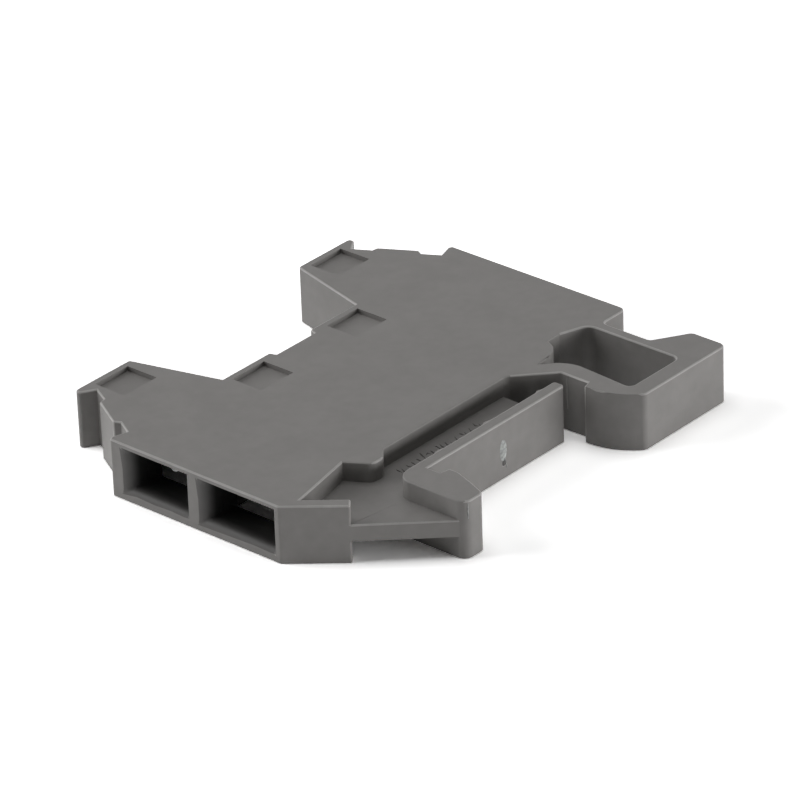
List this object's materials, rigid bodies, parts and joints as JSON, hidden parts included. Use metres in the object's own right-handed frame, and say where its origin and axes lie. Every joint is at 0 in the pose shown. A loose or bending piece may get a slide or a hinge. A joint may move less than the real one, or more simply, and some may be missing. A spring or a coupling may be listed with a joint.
{
  "type": "double-level terminal block",
  "caption": "Narrow moulded rail-mounted terminal block with two current strips on two levels and a cage clamp spring at each wire entry.",
  "frame": {"origin": "rail centre line, on the plane where the rail's lips seat and on the block's open side", "axes": "+X across the rail towards the latch loop, +Y away from the rail, +Z along the rail towards the closed side"},
  "size_m": [0.0342, 0.0301, 0.0042],
  "materials": {
    "housing_plastic": "fine matt moulded polyamide",
    "tinned_copper": "tin plated copper, satin",
    "spring_steel": "bright rolled stainless spring strip"
  },
  "bodies": {
    "block": {"housing": "housing_plastic", "lower_current_strip": "tinned_copper", "upper_current_strip": "tinned_copper"},
    "lower_left_clamp": {"lower_left_clamp_spring": "spring_steel"},
    "lower_right_clamp": {"lower_right_clamp_spring": "spring_steel"},
    "upper_left_clamp": {"upper_left_clamp_spring": "spring_steel"},
    "upper_right_clamp": {"upper_right_clamp_spring": "spring_steel"}
  },
  "joints": [
    {"name": "lower_left_clamp_press", "type": "slide", "parent": "block", "child": "lower_left_clamp", "axis": [0, -1, 0], "range_m": [0, 0.0015], "stiffness_N_per_m": 8000, "deforming": ["lower_left_clamp_spring"]},
    {"name": "lower_right_clamp_press", "type": "slide", "parent": "block", "child": "lower_right_clamp", "axis": [0, -1, 0], "range_m": [0, 0.0015], "stiffness_N_per_m": 8000, "deforming": ["lower_right_clamp_spring"]},
    {"name": "upper_left_clamp_press", "type": "slide", "parent": "block", "child": "upper_left_clamp", "axis": [0, -1, 0], "range_m": [0, 0.0015], "stiffness_N_per_m": 8000, "deforming": ["upper_left_clamp_spring"]},
    {"name": "upper_right_clamp_press", "type": "slide", "parent": "block", "child": "upper_right_clamp", "axis": [0, -1, 0], "range_m": [0, 0.0015], "stiffness_N_per_m": 8000, "deforming": ["upper_right_clamp_spring"]}
  ]
}
